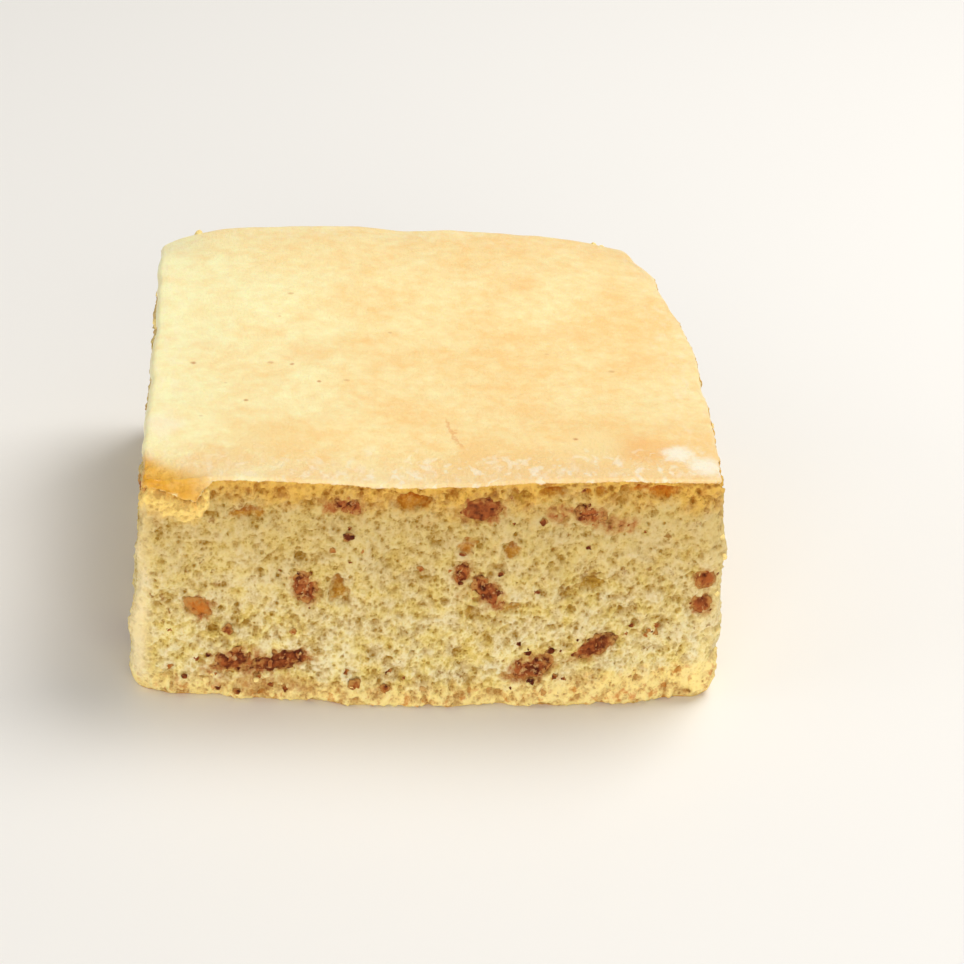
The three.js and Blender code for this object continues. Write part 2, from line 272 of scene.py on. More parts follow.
FRONT_HOLLOWS = (
    {"along": -3.4, "up": 34.7, "wide": 6.0, "high": 2.3, "deep": 1.5, "warmth": 0.75},
    {"along": 34.0, "up": 37.3, "wide": 7.6, "high": 2.2, "deep": 1.2, "warmth": 1.0},
    {"along": 18.6, "up": 36.6, "wide": 3.4, "high": 1.6, "deep": 0.6, "warmth": 0.6},
    {"along": 23.9, "up": 36.9, "wide": 1.0, "high": 1.6, "deep": 0.9, "warmth": 0.9},
    {"along": 13.6, "up": 36.2, "wide": 2.4, "high": 1.8, "deep": 0.5, "warmth": 0.2},
    {"along": 26.0, "up": 37.0, "wide": 2.2, "high": 1.4, "deep": 0.6, "warmth": 0.6},
    {"along": -28.6, "up": 32.1, "wide": 4.4, "high": 2.0, "deep": 0.6, "warmth": 0.5},
    {"along": -13.9, "up": 19.7, "wide": 2.8, "high": 4.6, "deep": 1.2, "warmth": 0.4},
    {"along": 12.7, "up": 27.0, "wide": 2.0, "high": 2.3, "deep": 0.9, "warmth": 0.5},
    {"along": 5.7, "up": 27.3, "wide": 2.6, "high": 2.6, "deep": 0.6, "warmth": 0.7},
    {"along": 13.2, "up": 17.2, "wide": 3.2, "high": 1.5, "deep": 0.9, "warmth": 0.35},
    {"along": 25.7, "up": 21.7, "wide": 4.0, "high": 2.6, "deep": 0.7, "warmth": 0.1},
    {"along": 21.7, "up": 20.2, "wide": 2.6, "high": 1.7, "deep": 0.6, "warmth": 0.05},
    {"along": 7.1, "up": 16.3, "wide": 2.6, "high": 2.0, "deep": 0.7, "warmth": 0.1},
)
HOLLOW_REACH = 0.65
HOLLOW_RIM = (1.3, 0.0)
HOLLOW_SHADOW_RISE = (-0.2, 0.9)
HOLLOW_RAGGED = 0.8
HOLLOW_UNEVEN = 0.4
HOLLOW_SMOOTHER = 0.5


def lumps(points, size, seed):
    """Smooth noise from -1 to 1 over points, with lumps of about this size."""
    moved = points.reshape(-1, 3) / size + seed * NOISE_SHIFT
    return np.array([noise.noise(p) for p in moved.tolist()]).reshape(points.shape[:-1])


def lump_layers(points, relief):
    """Smooth noise in layers, each with its own size of lump and depth."""
    layers = enumerate(relief["layers"], relief["seed"])
    return sum(depth * lumps(points, size, seed) for seed, (size, depth) in layers)


def cell_window(row, column, wide, high):
    """The part of the grid that a rounded cell covers, and how far its points lie from the middle."""
    reach_rows = high / row_step
    reach_columns = wide / column_step[int(column)]
    last_row = min(wall.shape[0] - 1, math.floor(row + reach_rows))
    rows = np.arange(max(0, math.ceil(row - reach_rows)), last_row + 1)
    columns = np.arange(math.ceil(column - reach_columns), math.floor(column + reach_columns) + 1)
    up_away = ((rows - row) / reach_rows)[:, None]
    side_away = ((columns - column) / reach_columns)[None, :]
    return np.ix_(rows, columns % COLUMNS), up_away**2 + side_away**2


crumb_random = np.random.default_rng(CRUMB_SEED)
ragged = lump_layers(wall, RAGGED)
cells = np.zeros(wall.shape[:2])
for kind in CELLS:
    for row, along, size, squash, sliced in crumb_random.random((kind["count"], 5)):
        cell = kind["small"] + (kind["large"] - kind["small"]) * size**2
        wide = cell * (1 + CELL_WIDER * squash)
        high = cell * (1 - CELL_LOWER * squash)
        window, away = cell_window(BASE_STEPS + row * WALL_ROWS, column_at(along), wide, high)
        bowl = np.sqrt(np.maximum(0, 1 - away + CELL_RAGGED * ragged[window]))
        depth = cell * (bowl - CELL_SHALLOWER - CELL_SLICED * sliced)
        cells[window] = np.minimum(cells[window], -depth)
# Each hollow also carries colour for the finish: how warm its painted shade is, and a painted shadow under
# its roof
hollows, hollow_depth, warmth, roof_shadows = np.zeros((4, *wall.shape[:2]))
for hollow in FRONT_HOLLOWS:
    row, column = front_spot(hollow["along"], hollow["up"])
    wide = hollow["wide"] * HOLLOW_REACH
    high = hollow["high"] * HOLLOW_REACH
    window, away = cell_window(row, column, wide, high)
    uneven = ragged[window]
    inward = smoothstep(*HOLLOW_RIM, away + HOLLOW_RAGGED * uneven)
    rise = (up_wall[window] - hollow["up"]) / hollow["high"] * 2
    roof_shadow = smoothstep(*HOLLOW_SHADOW_RISE, rise + HOLLOW_RAGGED * uneven)
    sunk = hollow["deep"] * inward * (1 + HOLLOW_UNEVEN * uneven)
    hollow_depth[window] = np.maximum(hollow_depth[window], sunk)
    cells[window] = cells[window] * (1 - HOLLOW_SMOOTHER * hollow["warmth"] * inward)
    hollows[window] = np.maximum(hollows[window], inward)
    warmth[window] = np.maximum(warmth[window], hollow["warmth"] * smoothstep(0.0, 0.3, inward))
    roof_shadows[window] = np.maximum(roof_shadows[window], roof_shadow * inward)
level = cells + lump_layers(wall, CLUMPS) + GRAIN * crumb_random.standard_normal(wall.shape[:2])
base_bits = np.minimum(lump_layers(wall, BASE_BITS), CRAG_PROUD)
crags = np.minimum(lump_layers(wall, CRAGS), CRAG_PROUD)
level = level + base_bits * smoothstep(*BASE_BITS_RISE, up_wall)
level = level + crags * smoothstep(-CRAG_REACH, -0.5 * CRAG_REACH, from_rim)

# The pressed corners
# The knife pressed the crumb shut along the two upright corners of the front, so it is
# smoother there, most at the left, and the same mask paints light on them, so they come out paler.
PRESSED_LEFT = (3.0, 0.5)
PRESSED_RIGHT = (3.5, 1.0)
PRESSED_RIGHT_SHARE = 0.3
PRESSED_FLAT = 0.55

left_gap = np.hypot(edge[:, 0] + TOP_WIDTH / 2, edge[:, 1] + TOP_DEPTH / 2)
right_gap = np.hypot(edge[:, 0] - TOP_WIDTH / 2, edge[:, 1] + TOP_DEPTH / 2)
pressed_and_lit = smoothstep(*PRESSED_LEFT, left_gap)
pressed_and_lit = pressed_and_lit + PRESSED_RIGHT_SHARE * smoothstep(*PRESSED_RIGHT, right_gap)
pressed_and_lit = np.broadcast_to(pressed_and_lit, wall.shape[:2])
level = level * (1 - PRESSED_FLAT * pressed_and_lit)

# The fold at the front left
# The knife dragged the skin down at the front left corner: it hangs over the cut there as a
# golden slope that ends in a crack, with a lip of pale crumb under it.
FOLD_ALONG = (-45.0, -36.2, -33.6)
FOLD_DIP = (0.8, 4.2, 0.0)
FOLD_BACK = (-45.0, -37.0)
FOLD_BACK_DIP = (1.0, 0.0)
FOLD_ACROSS = 13.5
FOLD_DEEP = 10.5
FOLD_SLOPE = (1.1, 0.55)
FOLD_SINK = 0.7
FOLD_RUMPLES = {"seed": 26, "layers": ((2.6, 0.5), (1.3, 0.35))}
FOLD_LIP = 0.35
FOLD_TORN = 1.2
CRACK_DEPTH = 0.9
CRACK_WIDTH = 0.3
CRACK_BELOW = 0.4
CRUMB_LIP = 0.6
CRUMB_LIP_FOOT = (-4.4, -2.2)
CRUMB_LIP_HEAD = (-0.3, -0.7)
TORN_EDGE = {"seed": 34, "layers": ((2.1, 0.3), (0.8, 0.2))}
SKIN_BREAK = 0.25
SIDE_SKIN = 0.6
LEFT_SKIN = 0.8
LEFT_RECESS = 0.6
LEFT_RECESS_RISE = (-9.0, -1.5)


def fold_share(x, y):
    """How far a point of the plan lies in the fold: 1 at the corner, 0 beyond the slope."""
    away = (x + TOP_WIDTH / 2) / FOLD_ACROSS + (y + TOP_DEPTH / 2) / FOLD_DEEP
    return smoothstep(*FOLD_SLOPE, away)


front_dip = np.interp(edge[:, 0], FOLD_ALONG, FOLD_DIP, right=0.0)
left_dip = np.interp(edge[:, 1], FOLD_BACK, FOLD_BACK_DIP, right=0.0)
dip = np.where(facing[:, 1] < -0.5, front_dip, 0.0)
dip = np.where(facing[:, 0] < -0.5, left_dip, dip)
left_share = smoothstep(0.5, 0.9, -facing[:, 0])
side_share = smoothstep(-0.9, -0.5, facing[:, 1])
skin_edge = from_rim + dip + SIDE_SKIN * side_share + LEFT_SKIN * left_share
near_fold = smoothstep(0.2, 1.2, dip)
torn = lump_layers(wall, TORN_EDGE) * (1 + FOLD_TORN * near_fold)
torn_edge = skin_edge + torn
skin_share = smoothstep(-SKIN_BREAK, SKIN_BREAK, torn_edge)
fold = fold_share(wall[:, :, 0], wall[:, :, 1]) * skin_share
crack = np.exp(-(((torn_edge + CRACK_BELOW) / CRACK_WIDTH) ** 2)) * near_fold
crumb_lip = smoothstep(*CRUMB_LIP_FOOT, torn_edge + torn) * smoothstep(*CRUMB_LIP_HEAD, torn_edge)
crumb_lip = crumb_lip * near_fold

# The relief of the skin
# The baked skin is smooth but not flat: broad soft dimples, fine wrinkles, and a ragged lip
# where the knife broke it.
SKIN_LUMPS = {"seed": 20, "layers": ((12.0, 0.18), (4.5, 0.07), (1.7, 0.03))}
LIP_RECESS = 0.3
LIP_BELOW = 0.7
LIP_WIDTH = 0.5


def skin_relief(points):
    """Height of the skin's dimples and wrinkles, and of the slope of the fold."""
    rumples = lump_layers(points, FOLD_RUMPLES) - FOLD_SINK
    return lump_layers(points, SKIN_LUMPS) + rumples * fold_share(points[..., 0], points[..., 1])


under_lip = np.exp(-(((torn_edge + LIP_BELOW) / LIP_WIDTH) ** 2))

# The pockets of the dates
# The crumb is torn away over each date, in a ragged patch, and stained by it all round. Along
# the front the knife smeared some of the stains.
POCKET = 0.4
POCKET_RIM = (1.2, 0.8)
POCKET_MIDDLE = 0.6
TORN_PATCH = {"seed": 41, "layers": ((2.0, 0.5), (0.95, 0.7))}
STAIN_DEPTH = 6.0
STAIN_RIM = (1.9, 0.6)
STAIN_RAGGED = 0.7
SMEAR_RIM = (1.6, 0.4)
FRONT_SMEARS = (
    {"along": -26.8, "up": 6.4, "wide": 9.0, "high": 4.0, "share": 1.0},
    {"along": -33.3, "up": 5.3, "wide": 5.0, "high": 2.6, "share": 0.7},
    {"along": -25.0, "up": 3.0, "wide": 18.0, "high": 4.0, "share": 0.65},
    {"along": -14.2, "up": 33.7, "wide": 5.8, "high": 2.6, "share": 0.95},
    {"along": 29.2, "up": 31.5, "wide": 7.0, "high": 3.2, "share": 0.85},
    {"along": 20.0, "up": 33.0, "wide": 5.0, "high": 3.6, "share": 0.8},
    {"along": 6.5, "up": 20.6, "wide": 5.0, "high": 5.0, "share": 0.4},
)

date_share, stain = np.zeros((2, *wall.shape[:2]))
torn_patch = lump_layers(wall, TORN_PATCH)
for date in dates:
    beside = (wall - date["middle"]) @ date["axes"].T
    away = np.hypot(beside[:, :, 0] / date["half"][0], beside[:, :, 1] / date["half"][1])
    away = away + STAIN_DEPTH * (np.abs(beside[:, :, 2]) > STAIN_DEPTH)
    pocket = smoothstep(*POCKET_RIM, np.maximum(away, POCKET_MIDDLE) + torn_patch)
    date_share = np.maximum(date_share, pocket)
    stain = np.maximum(stain, smoothstep(*STAIN_RIM, away + STAIN_RAGGED * torn_patch))
behind_front = STAIN_DEPTH * (wall[:, :, 1] > STAIN_DEPTH - TOP_DEPTH / 2)
for smear in FRONT_SMEARS:
    beside = (wall[:, :, 0] - smear["along"]) / smear["wide"]
    away = np.hypot(beside, (up_wall - smear["up"]) / smear["high"])
    soaked = smoothstep(*SMEAR_RIM, 2 * away + STAIN_RAGGED * torn_patch + behind_front)
    stain = np.maximum(stain, smear["share"] * soaked)

# The mesh of the sponge
# One closed surface: the grid of the walls, the baked top and the base, which join it along
# its last and first rings. Its points carry the values that the finish needs.
TOP_SPACING = 1.25
BASE_SPACING = 2.6
BASE_RAGGED_FROM = 0.5
SHADE_LOWEST = -0.75
TOP_SKIN_LEAST = 2.5


def inside(points, loop):
    """Which points of the plan lie inside a closed loop."""
    ahead = np.roll(loop, -1, 0)
    x = points[:, 0, None]
    y = points[:, 1, None]
    crosses = (loop[:, 1] > y) != (ahead[:, 1] > y)
    rise = np.where(ahead[:, 1] == loop[:, 1], 1.0, ahead[:, 1] - loop[:, 1])
    at_x = loop[:, 0] + (ahead[:, 0] - loop[:, 0]) * (y - loop[:, 1]) / rise
    return (crosses & (x < at_x)).sum(1) % 2 == 1


def fill_loop(loop, spacing):
    """Points spread inside a loop of the plan, and triangles over the loop and the points."""
    lines = np.arange(-TOP_WIDTH, TOP_WIDTH, spacing)
    x, y = np.meshgrid(lines, lines)
    x = x + spacing / 2 * (np.arange(len(lines)) % 2)[:, None]
    spread = np.stack([x.ravel(), y.ravel()], 1)
    spread = spread[inside(spread, loop * (1 - spacing / TOP_WIDTH))]
    corners = [Vector(p) for p in np.concatenate([loop, spread]).tolist()]
    borders = [(k, (k + 1) % len(loop)) for k in range(len(loop))]
    made = delaunay_2d_cdt(corners, borders, [], 1, 1e-6)
    source = [ids[0] for ids in made[3]]
    return spread, [[source[k] for k in face] for face in made[2]]


def add_mesh(name, points, faces, values):
    """A smooth mesh object in the scene, from points in millimetres, with values on its points."""
    mesh = bpy.data.meshes.new(name)
    mesh.from_pydata((np.asarray(points) * MM).tolist(), [], faces)
    mesh.polygons.foreach_set("use_smooth", [True] * len(mesh.polygons))
    for key, numbers in values.items():
        layer = mesh.attributes.new(key, "FLOAT", "POINT")
        layer.data.foreach_set("value", np.ravel(numbers).tolist())
    mesh.update()
    piece = bpy.data.objects.new(name, mesh)
    bpy.context.scene.collection.objects.link(piece)
    return piece


crumb_relief = (level - hollow_depth) * smoothstep(0.0, BASE_RAGGED_FROM, up_wall)
crumb_relief = crumb_relief - LIP_RECESS * under_lip - CRACK_DEPTH * crack
crumb_relief = crumb_relief + CRUMB_LIP * crumb_lip - POCKET * date_share
crumb_relief = crumb_relief - LEFT_RECESS * left_share * smoothstep(*LEFT_RECESS_RISE, from_rim)
top_relief = skin_relief(wall) + FOLD_LIP * near_fold * (from_rim < radius)
relief = crumb_relief * (1 - skin_share) + top_relief * skin_share
dressed_wall = wall + wall_way * relief[:, :, None]
dressed_wall[:, :, 2] = np.maximum(dressed_wall[:, :, 2], 0.0)

row_count = wall.shape[0]
grid = np.arange(row_count * COLUMNS).reshape(row_count, COLUMNS)
ahead = np.roll(grid, -1, 1)
faces = np.stack([grid[:-1], ahead[:-1], ahead[1:], grid[1:]], 2).reshape(-1, 4).tolist()
top_plan, top_faces = fill_loop(wall[-1, :, :2], TOP_SPACING)
top_start = row_count * COLUMNS
for face in top_faces:
    faces.append([int(grid[-1, k]) if k < COLUMNS else top_start + k - COLUMNS for k in face])
base_plan, base_faces = fill_loop(wall[0, :, :2], BASE_SPACING)
base_start = top_start + len(top_plan)
for face in base_faces:
    face.reverse()
    faces.append([int(grid[0, k]) if k < COLUMNS else base_start + k - COLUMNS for k in face])
top_points = np.concatenate([top_plan, top_height(*top_plan.T)[:, None]], 1)
top_points[:, 2] += skin_relief(top_points)
base_points = np.concatenate([base_plan, np.zeros((len(base_plan), 1))], 1)
top_blank = np.zeros(len(top_plan))
base_blank = np.zeros(len(base_plan))
top_inset = np.maximum(TOP_WIDTH / 2 - np.abs(top_plan).max(1), TOP_SKIN_LEAST)
point_values = {
    "skin_edge": (skin_edge, top_inset, base_blank - HEIGHT),
    "above_base": (up_wall, top_blank + HEIGHT, base_blank),
    "fold": (fold, fold_share(*top_plan.T), base_blank),
    "level": (np.maximum(level, SHADE_LOWEST), top_blank, base_blank),
    "hollow": (hollows, top_blank, base_blank),
    "warmth": (warmth, top_blank, base_blank),
    "roof_shadow": (roof_shadows, top_blank, base_blank),
    "pressed_and_lit": (pressed_and_lit, top_blank, base_blank),
    "stain": (stain, top_blank, base_blank),
    "crumb_lip": (crumb_lip, top_blank, base_blank),
}
sponge_points = np.concatenate([dressed_wall.reshape(-1, 3), top_points, base_points])
sponge = add_mesh("sponge_slice", sponge_points, faces, {
    key: np.concatenate([part.ravel() for part in parts]) for key, parts in point_values.items()
})

# The finish of the sponge
# The crumb is pale yellow, cream on its clumps with painted light and painted shade in its cells, toasted
# under the skin and golden at the base.
# The skin is a cream gold, mottled with peach, with a painted sheen and painted glints near its edges and a
# few brown specks.
# partly the crumb's own cream and partly painted light on its raised clumps
CRUMB_CREAM_AND_PAINTED_LIGHT = (254, 245, 200)
CRUMB_YELLOW = (219, 193, 118)
CRUMB_GREY = (225, 210, 176)
CRUMB_GOLD = (238, 211, 102)
# painted shade in the crumb's cells, where the relief sinks
CRUMB_CELL_SHADE = (160, 118, 38)
# dark dots of painted shade for deep pits in the crumb
CRUMB_PIT_SHADE = (150, 100, 36)
# a darker crumb: painted shade towards the top of the cut walls, and the loose crumbs' own darker tone
CRUMB_DARK_TONE_AND_PAINTED_SHADE = (204, 174, 108)
# painted light on the front corners, most at the left
CRUMB_PAINTED_CORNER_LIGHT = (250, 231, 182)
TOAST = (231, 181, 78)
TOAST_DARK = (180, 110, 26)
# painted shade in the cells of the toasted strip
TOAST_CELL_SHADE = (150, 84, 14)
# painted shade in the front hollows, and a painted shadow under their roofs
HOLLOW_SHADE = (176, 136, 46)
HOLLOW_WARM_SHADE = (194, 122, 28)
HOLLOW_ROOF_SHADOW = (136, 92, 24)
HOLLOW_WARM_ROOF_SHADOW = (172, 84, 4)
BASE_GOLD = (255, 229, 149)
BASE_BROWN = (214, 142, 60)
# painted shade in the cells of the golden base
BASE_CELL_SHADE = (174, 112, 50)
LIP_GOLD = (255, 220, 130)
DATE_HALO = (190, 138, 72)
DATE_FLESH = (168, 90, 42)
DATE_DARK = (97, 37, 10)
SKIN_PALE = (255, 248, 192)
SKIN_PEACH = (249, 210, 140)
SKIN_ORANGE = (247, 186, 108)
# painted sheen and painted highlights on the skin
SKIN_PAINTED_SHEEN = (255, 236, 204)
SKIN_GLINT = (255, 248, 226)
FOLD_GOLD = (230, 166, 42)
FOLD_PALE = (241, 190, 84)
FOLD_DEEP_GOLD = (204, 142, 30)
SPECK_BROWN = (190, 110, 40)
HAIR_CRACK = (226, 160, 92)
HAIR_SLANT = 0.22
HAIR_PLACE = 2.44
SKIN_SPOTS = (  # colour, place, reach and strength
    (SKIN_ORANGE, (34.0, -34.5, 39.0), 7.0, 0.6),
    (SKIN_ORANGE, (-33.0, -39.0, 38.0), 8.0, 0.4),
    (SKIN_ORANGE, (-19.5, -2.5, 39.0), 6.0, 0.3),
    (SKIN_ORANGE, (24.4, 7.5, 39.0), 6.0, 0.3),
    (SKIN_ORANGE, (18.0, 24.0, 40.0), 5.0, 0.3),
    # painted highlights of the light on the rounded front right corner
    (SKIN_GLINT, (38.9, -35.6, 39.0), 3.6, 0.85),
    (SKIN_GLINT, (42.6, -39.6, 39.0), 4.2, 0.9),
    # painted sheen at the front left
    (SKIN_PAINTED_SHEEN, (-42.0, -28.0, 38.0), 4.5, 0.5),
    (SKIN_PALE, (25.0, -33.0, 38.0), 8.0, 0.3),
    (SKIN_PEACH, (-26.0, -33.0, 38.0), 10.0, 0.45),
    (SPECK_BROWN, (-37.6, -6.8, 38.4), 0.7, 0.75),
    (SPECK_BROWN, (-21.6, -6.7, 38.6), 0.65, 0.75),
    (SPECK_BROWN, (-17.2, -12.6, 38.5), 0.65, 0.75),
    (SPECK_BROWN, (-28.9, -19.3, 38.3), 0.6, 0.65),
    (SPECK_BROWN, (23.1, -30.4, 38.3), 0.7, 0.75),
)
SPOT_CORE = 0.3
CRUMB_ROUGHNESS = 0.9
SPONGE_SHADER = {
    "Specular IOR Level": 0.12,
    "Coat Roughness": 0.28,
    "Subsurface Weight": 0.2,
    "Subsurface Radius": (1.0, 0.62, 0.3),
    "Subsurface Scale": 1.2 * MM,
}


class Value:
    """A number, colour or place that changes over the surface: one output of a shader node.
    Values add, multiply and divide as numbers do."""

    def __init__(self, tree, socket):
        self.tree = tree
        self.socket = socket

    def beside(self, output):
        """Another output of the same node."""
        return Value(self.tree, self.socket.node.outputs[output])

    def __add__(self, other):
        return add_node(self.tree, "ShaderNodeMath", {0: self, 1: other}, operation="ADD")

    def __sub__(self, number):
        return self + -number

    def __mul__(self, other):
        return add_node(self.tree, "ShaderNodeMath", {0: self, 1: other}, operation="MULTIPLY")

    def __rtruediv__(self, number):
        return add_node(self.tree, "ShaderNodeMath", {0: number, 1: self}, operation="DIVIDE")


def add_node(tree, kind, inputs, output=0, **settings):
    """One output of a new shader node, with its settings, and its inputs set or linked to values."""
    made = tree.nodes.new(kind)
    for key, setting in settings.items():
        setattr(made, key, setting)
    for key, given in inputs.items():
        if isinstance(given, Value):
            tree.links.new(given.socket, made.inputs[key])
        else:
            made.inputs[key].default_value = given
    return Value(tree, made.outputs[output])


def feed(value, socket):
    """Links a value to an input of a shader or to the end of a group."""
    value.tree.links.new(value.socket, socket)


def colour(srgb):
    """A colour for a shader, from its red, green and blue as a screen shows them."""
    shares = [channel / 255 for channel in srgb]
    linear = [s / 12.92 if s <= 0.04045 else ((s + 0.055) / 1.055) ** 2.4 for s in shares]
    return (*linear, 1.0)


def ramp(value, low, high, to_low=0.0, to_high=1.0):
    """A soft step of a value from low to high."""
    inputs = {"Value": value, "From Min": low, "From Max": high, "To Min": to_low, "To Max": to_high}
    return add_node(value.tree, "ShaderNodeMapRange", inputs, interpolation_type="SMOOTHSTEP")


def mix(share, first, second):
    """A mix of two numbers."""
    return add_node(share.tree, "ShaderNodeMix", {0: share, 2: first, 3: second}, data_type="FLOAT")


def blend(share, first, second):
    """A mix of two colours, each a screen colour or a value."""
    tree = next(part.tree for part in (share, first, second) if isinstance(part, Value))
    first = first if isinstance(first, Value) else colour(first)
    second = second if isinstance(second, Value) else colour(second)
    return add_node(tree, "ShaderNodeMix", {0: share, 6: first, 7: second}, 2, data_type="RGBA")


def mesh_value(tree, name):
    """A value that the mesh carries on its points."""
    return add_node(tree, "ShaderNodeAttribute", {}, "Fac", attribute_name=name)


def position(tree):
    """The place on the object in millimetres."""
    place = add_node(tree, "ShaderNodeTexCoord", {}, "Object")
    return add_node(tree, "ShaderNodeVectorMath", {0: place, "Scale": 1 / MM}, operation="SCALE")


def stretched(place, shares):
    """The place with each of its ways made longer or shorter."""
    return add_node(place.tree, "ShaderNodeVectorMath", {0: place, 1: shares}, operation="MULTIPLY")


def warped(place, rate, reach, detail=2.0):
    """The place pushed about by noise, up to a reach."""
    inputs = {"Vector": place, "Scale": rate, "Detail": detail}
    push = add_node(place.tree, "ShaderNodeTexNoise", inputs, "Color")
    inputs = {0: push, 1: (reach, reach, reach), 2: place}
    return add_node(place.tree, "ShaderNodeVectorMath", inputs, operation="MULTIPLY_ADD")


def grains(place, size, detail=3.0):
    """Noise from about -0.5 to 0.5 with grains of this size."""
    inputs = {"Vector": place, "Scale": 1 / size, "Detail": detail, "Roughness": 0.6}
    return add_node(place.tree, "ShaderNodeTexNoise", inputs, "Fac") - 0.5


def new_group(name, numbers, output):
    """An empty shader node group that takes a position and named numbers, what it is given, and
    the socket of its output."""
    tree = bpy.data.node_groups.new(name, "ShaderNodeTree")
    tree.interface.new_socket("Position", in_out="INPUT", socket_type="NodeSocketVector")
    for number in numbers:
        tree.interface.new_socket(number, in_out="INPUT", socket_type="NodeSocketFloat")
    tree.interface.new_socket(output, in_out="OUTPUT", socket_type="NodeSocketFloat")
    given = tree.nodes.new("NodeGroupInput").outputs
    given = [Value(tree, given[socket]) for socket in ("Position", *numbers)]
    return tree, given, tree.nodes.new("NodeGroupOutput").inputs[output]


def use_group(group, place, **numbers):
    """The output of a placed group, with its numbers set or linked to values."""
    inputs = {"Position": place, **numbers}
    return add_node(place.tree, "ShaderNodeGroup", inputs, node_tree=group)


def new_material(name, roughness):
    """A material with a principled shader, its node tree and the shader."""
    made = bpy.data.materials.new(name)
    made.use_nodes = True
    shader = made.node_tree.nodes["Principled BSDF"]
    shader.inputs["Roughness"].default_value = roughness
    return made, made.node_tree, shader


# Fine gas cells that are too small for the mesh
gas_cells, (place, size), result = new_group("Gas cells", ("Size",), "Open")
inputs = {"Vector": warped(place, 0.9, 0.5), "Scale": 1 / size}
near = add_node(gas_cells, "ShaderNodeTexVoronoi", inputs, "Distance")
chance = add_node(gas_cells, "ShaderNodeSeparateColor", {"Color": near.beside("Color")}, "Red")
feed(ramp(near, 0.52, 0.14) * ramp(chance, 0.2, 0.65), result)

# Soft patches of two shades
patches, (place, size), result = new_group("Patches", ("Size",), "Share")
inputs = {"Vector": place, "Scale": 1 / size, "Detail": 3.0}
feed(ramp(add_node(patches, "ShaderNodeTexNoise", inputs, "Fac"), 0.3, 0.7), result)

# Small specks, far apart
specks, (place, apart, size), result = new_group("Specks", ("Apart", "Size"), "Mask")
near = add_node(specks, "ShaderNodeTexVoronoi", {"Vector": place, "Scale": 1 / apart}, "Distance")
chance = add_node(specks, "ShaderNodeSeparateColor", {"Color": near.beside("Color")}, "Green")
reach = size * (chance * chance)
feed(ramp(near * apart, reach, reach * 0.4), result)

# The crumb: cream on its raised clumps, partly its own colour and partly painted light, yellow between,
# painted shade in its cells
sponge_finish, tree, shader = new_material("sponge crumb and skin", 0.85)
place = position(tree)
across = add_node(tree, "ShaderNodeSeparateXYZ", {0: place}, "X")
deep = across.beside("Y")
height = across.beside("Z")
wander = grains(place, 1.4, 4.0)
roughness = grains(place, 0.6)
fine_cells = use_group(gas_cells, place, Size=0.85)
pinholes = use_group(gas_cells, place, Size=0.5)
surface = mesh_value(tree, "level") + roughness * 1.2
surface = surface + (fine_cells * -0.45 + pinholes * -0.3)
pressed_and_lit_mask = mesh_value(tree, "pressed_and_lit")
# painted shade in the cells, where the relief sinks, with less of it at the pressed corners
cell_shade_mask = ramp(surface, 0.0, -1.0) * (pressed_and_lit_mask * -0.6 + 1.0)
clouds = use_group(patches, place, Size=6.0)
spots = use_group(patches, place, Size=2.6)
# paler where the relief rises: partly the crumb's own cream, partly painted light
crumb = blend(ramp(surface, -0.3, 0.35), CRUMB_YELLOW, CRUMB_CREAM_AND_PAINTED_LIGHT)
crumb = blend(clouds * 0.2, crumb, CRUMB_YELLOW)
crumb = blend(0.45, crumb, blend(spots, CRUMB_GREY, CRUMB_GOLD))
# painted shade: the crumb darkens towards the top, where less light bounces up from below
crumb = blend(ramp(height, 5.0, 36.0, 0.0, 0.75), crumb, CRUMB_DARK_TONE_AND_PAINTED_SHADE)
crumb = blend(cell_shade_mask, crumb, CRUMB_CELL_SHADE)
# painted light: the front corners come out paler, more towards the base
painted_corner_light = pressed_and_lit_mask * ramp(height + wander * 12.0, 30.0, 14.0, 0.3, 0.75)
crumb = blend(painted_corner_light, crumb, CRUMB_PAINTED_CORNER_LIGHT)

# The toasted strip under the skin, the torn hollows with painted shade and a painted shadow under their
# roofs, dark dots of painted shade in deep pits, the golden base and the lip under the fold
lip = mesh_value(tree, "skin_edge")
broad = use_group(patches, place, Size=9.0)
scorch = grains(place, 1.7)
burnt = ramp(scorch + surface * 0.12, 0.08, -0.22)
toast_mask = ramp(lip + wander * 6.0 + broad * 3.0, -5.0, 1.0, 0.0, 0.85)
# painted light: the toast is weaker along the very left edge, so the left wall comes out paler
toast_mask = toast_mask * ramp(across, -45.5, -43.5, 0.3, 1.0)
toasted = blend(burnt * 0.85, TOAST, TOAST_DARK)
toasted = blend(cell_shade_mask * 0.65, toasted, TOAST_CELL_SHADE)
crumb = blend(toast_mask, crumb, toasted)
hollow_warmth = mesh_value(tree, "warmth")
# painted shade in the hollows, darkest as a painted shadow under their roofs
hollow_roof_shadow_colour = blend(hollow_warmth, HOLLOW_ROOF_SHADOW, HOLLOW_WARM_ROOF_SHADOW)
hollow_shade_colour = blend(hollow_warmth, HOLLOW_SHADE, HOLLOW_WARM_SHADE)
hollow_shade_colour = blend(ramp(mesh_value(tree, "roof_shadow"), 0.05, 0.6), hollow_shade_colour, hollow_roof_shadow_colour)
hollow_shade_colour = blend(cell_shade_mask * 0.75, hollow_shade_colour, hollow_roof_shadow_colour)
hollow_shade_colour = blend(ramp(roughness, 0.1, -0.2, 0.0, 0.55), hollow_shade_colour, hollow_roof_shadow_colour)
hollow_shade_colour = blend(ramp(roughness, 0.05, 0.25, 0.0, 0.4), hollow_shade_colour, crumb)
hollow_mask = mesh_value(tree, "hollow") + wander * 2.2
crumb = blend(ramp(hollow_mask, 0.0, 1.1, 0.0, 0.95), crumb, hollow_shade_colour)
above_base = mesh_value(tree, "above_base")
